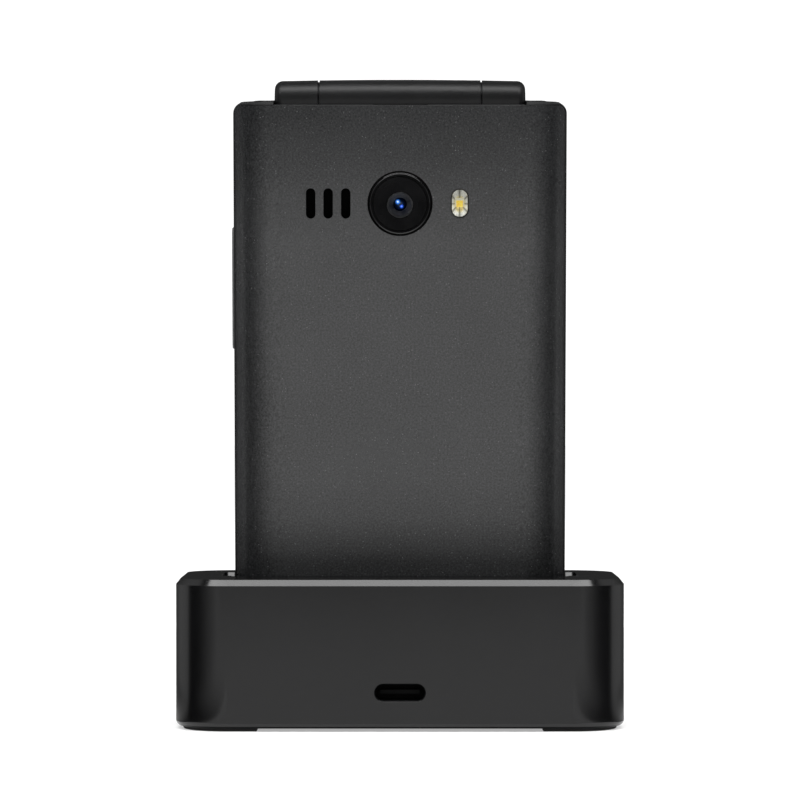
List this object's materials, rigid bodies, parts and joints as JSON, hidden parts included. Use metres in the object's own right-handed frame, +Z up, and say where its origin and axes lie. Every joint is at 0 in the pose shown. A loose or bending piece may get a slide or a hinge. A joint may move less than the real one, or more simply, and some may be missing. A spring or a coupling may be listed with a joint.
{
  "type": "flip phone in charging cradle",
  "caption": "Closed clamshell phone with rear camera, flash and speaker slots, standing tilted in a heavy desk charging cradle with a USB-C inlet; lid hinges open and keys press.",
  "frame": {"origin": "centre of the cradle's footprint on the table, at the underside of its feet", "axes": "+Z up; +X across the phone and cradle; the rear cover, camera and the cradle's USB-C inlet face -Y, the lid and keypad face +Y"},
  "size_m": [0.076, 0.0392, 0.1107],
  "materials": {
    "cradle_plastic": "fine satin moulding",
    "foot_rubber": "matte",
    "bumper_rubber": "matte",
    "steel": "plated",
    "usb_steel": "dark plated",
    "insulator": "moulded",
    "board": "solder mask",
    "gold_contact": "gold plated",
    "cover_paint": "fine metallic texture",
    "frame_plastic": "satin",
    "fascia_plastic": "satin gloss",
    "film": "film with domes",
    "battery_wrap": "wrapped pouch cell",
    "speaker_body": "black",
    "bezel_gloss": "piano black",
    "camera_black": "anodised",
    "optical_glass": "coated",
    "flash_clear": "fluted",
    "reflector": "mirror",
    "phosphor": "phosphor",
    "key_plastic": "satin",
    "rocker_plastic": "satin",
    "lid_paint": "fine metallic texture",
    "window_glass": "black backed",
    "display_panel": "panel"
  },
  "bodies": {
    "cradle": {"cradle_shell": "cradle_plastic", "cradle_base_plate": "cradle_plastic", "cradle_feet": "foot_rubber", "cradle_screws": "steel", "cradle_ballast": "steel", "cradle_pcb": "board", "cradle_usb_shell": "usb_steel", "cradle_usb_tongue": "insulator", "pin_block": "insulator"},
    "phone_base": {"base_frame": "frame_plastic", "base_screws": "steel", "battery": "battery_wrap", "camera_glass": "optical_glass", "camera_lens": "optical_glass", "camera_module": "camera_black", "camera_ring": "bezel_gloss", "contact_pads": "gold_contact", "dome_sheet": "film", "flash_led": "phosphor", "flash_lens": "flash_clear", "flash_reflector": "reflector", "hinge_module": "steel", "hinge_pin": "steel", "keypad_fascia": "fascia_plastic", "loudspeaker": "speaker_body", "main_pcb": "board", "rear_cover": "cover_paint", "sim_holder": "steel", "speaker_mesh": "steel", "usb_port": "usb_steel", "vibration_motor": "steel"},
    "lid": {"lid_shell": "lid_paint", "hinge_flex": "film", "lid_fascia": "fascia_plastic", "lid_bumpers": "bumper_rubber", "display_glass": "window_glass", "main_display": "display_panel", "earpiece": "speaker_body", "outer_display": "display_panel", "lid_window": "window_glass"},
    "charge_pins": {"charge_pins": "gold_contact"},
    "volume_rocker": {"volume_key": "rocker_plastic"},
    "key_0": {"key_0": "key_plastic"},
    "key_1": {"key_1": "key_plastic"},
    "key_2": {"key_2": "key_plastic"},
    "key_3": {"key_3": "key_plastic"},
    "key_4": {"key_4": "key_plastic"},
    "key_5": {"key_5": "key_plastic"},
    "key_6": {"key_6": "key_plastic"},
    "key_7": {"key_7": "key_plastic"},
    "key_8": {"key_8": "key_plastic"},
    "key_9": {"key_9": "key_plastic"},
    "key_call": {"key_call": "key_plastic"},
    "key_end": {"key_end": "key_plastic"},
    "key_hash": {"key_hash": "key_plastic"},
    "key_soft_left": {"key_soft_left": "key_plastic"},
    "key_soft_right": {"key_soft_right": "key_plastic"},
    "key_star": {"key_star": "key_plastic"},
    "nav_ring": {"nav_ring": "key_plastic"},
    "nav_ok": {"nav_ok": "key_plastic"}
  },
  "joints": [
    {"name": "phone_lift", "type": "slide", "parent": "cradle", "child": "phone_base", "axis": [0, -0.1045, 0.9945], "range_m": [0, 0.04]},
    {"name": "lid_hinge", "type": "hinge", "parent": "phone_base", "child": "lid", "pos_m": [0, -0.00296, 0.10664], "axis": [1, 0, 0], "range_deg": [0, 160]},
    {"name": "charge_pin_press", "type": "slide", "parent": "cradle", "child": "charge_pins", "axis": [0, -0.1045, 0.9945], "range_m": [-0.0004, 0], "stiffness_N_per_m": 300},
    {"name": "volume_rock", "type": "hinge", "parent": "phone_base", "child": "volume_rocker", "pos_m": [-0.0274, -0.00214, 0.07495], "axis": [0, 0.9945, 0.1045], "range_deg": [-1.2, 1.2], "stiffness_Nm_per_rad": 0.4},
    {"name": "key_0_press", "type": "slide", "parent": "phone_base", "child": "key_0", "axis": [0, -0.9945, -0.1045], "range_m": [0, 0.0003], "stiffness_N_per_m": 600},
    {"name": "key_1_press", "type": "slide", "parent": "phone_base", "child": "key_1", "axis": [0, -0.9945, -0.1045], "range_m": [0, 0.0003], "stiffness_N_per_m": 600},
    {"name": "key_2_press", "type": "slide", "parent": "phone_base", "child": "key_2", "axis": [0, -0.9945, -0.1045], "range_m": [0, 0.0003], "stiffness_N_per_m": 600},
    {"name": "key_3_press", "type": "slide", "parent": "phone_base", "child": "key_3", "axis": [0, -0.9945, -0.1045], "range_m": [0, 0.0003], "stiffness_N_per_m": 600},
    {"name": "key_4_press", "type": "slide", "parent": "phone_base", "child": "key_4", "axis": [0, -0.9945, -0.1045], "range_m": [0, 0.0003], "stiffness_N_per_m": 600},
    {"name": "key_5_press", "type": "slide", "parent": "phone_base", "child": "key_5", "axis": [0, -0.9945, -0.1045], "range_m": [0, 0.0003], "stiffness_N_per_m": 600},
    {"name": "key_6_press", "type": "slide", "parent": "phone_base", "child": "key_6", "axis": [0, -0.9945, -0.1045], "range_m": [0, 0.0003], "stiffness_N_per_m": 600},
    {"name": "key_7_press", "type": "slide", "parent": "phone_base", "child": "key_7", "axis": [0, -0.9945, -0.1045], "range_m": [0, 0.0003], "stiffness_N_per_m": 600},
    {"name": "key_8_press", "type": "slide", "parent": "phone_base", "child": "key_8", "axis": [0, -0.9945, -0.1045], "range_m": [0, 0.0003], "stiffness_N_per_m": 600},
    {"name": "key_9_press", "type": "slide", "parent": "phone_base", "child": "key_9", "axis": [0, -0.9945, -0.1045], "range_m": [0, 0.0003], "stiffness_N_per_m": 600},
    {"name": "key_call_press", "type": "slide", "parent": "phone_base", "child": "key_call", "axis": [0, -0.9945, -0.1045], "range_m": [0, 0.0003], "stiffness_N_per_m": 600},
    {"name": "key_end_press", "type": "slide", "parent": "phone_base", "child": "key_end", "axis": [0, -0.9945, -0.1045], "range_m": [0, 0.0003], "stiffness_N_per_m": 600},
    {"name": "key_hash_press", "type": "slide", "parent": "phone_base", "child": "key_hash", "axis": [0, -0.9945, -0.1045], "range_m": [0, 0.0003], "stiffness_N_per_m": 600},
    {"name": "key_soft_left_press", "type": "slide", "parent": "phone_base", "child": "key_soft_left", "axis": [0, -0.9945, -0.1045], "range_m": [0, 0.0003], "stiffness_N_per_m": 600},
    {"name": "key_soft_right_press", "type": "slide", "parent": "phone_base", "child": "key_soft_right", "axis": [0, -0.9945, -0.1045], "range_m": [0, 0.0003], "stiffness_N_per_m": 600},
    {"name": "key_star_press", "type": "slide", "parent": "phone_base", "child": "key_star", "axis": [0, -0.9945, -0.1045], "range_m": [0, 0.0003], "stiffness_N_per_m": 600},
    {"name": "nav_ring_press", "type": "slide", "parent": "phone_base", "child": "nav_ring", "axis": [0, -0.9945, -0.1045], "range_m": [0, 0.0003], "stiffness_N_per_m": 600},
    {"name": "nav_ok_press", "type": "slide", "parent": "phone_base", "child": "nav_ok", "axis": [0, -0.9945, -0.1045], "range_m": [0, 0.0003], "stiffness_N_per_m": 600}
  ]
}
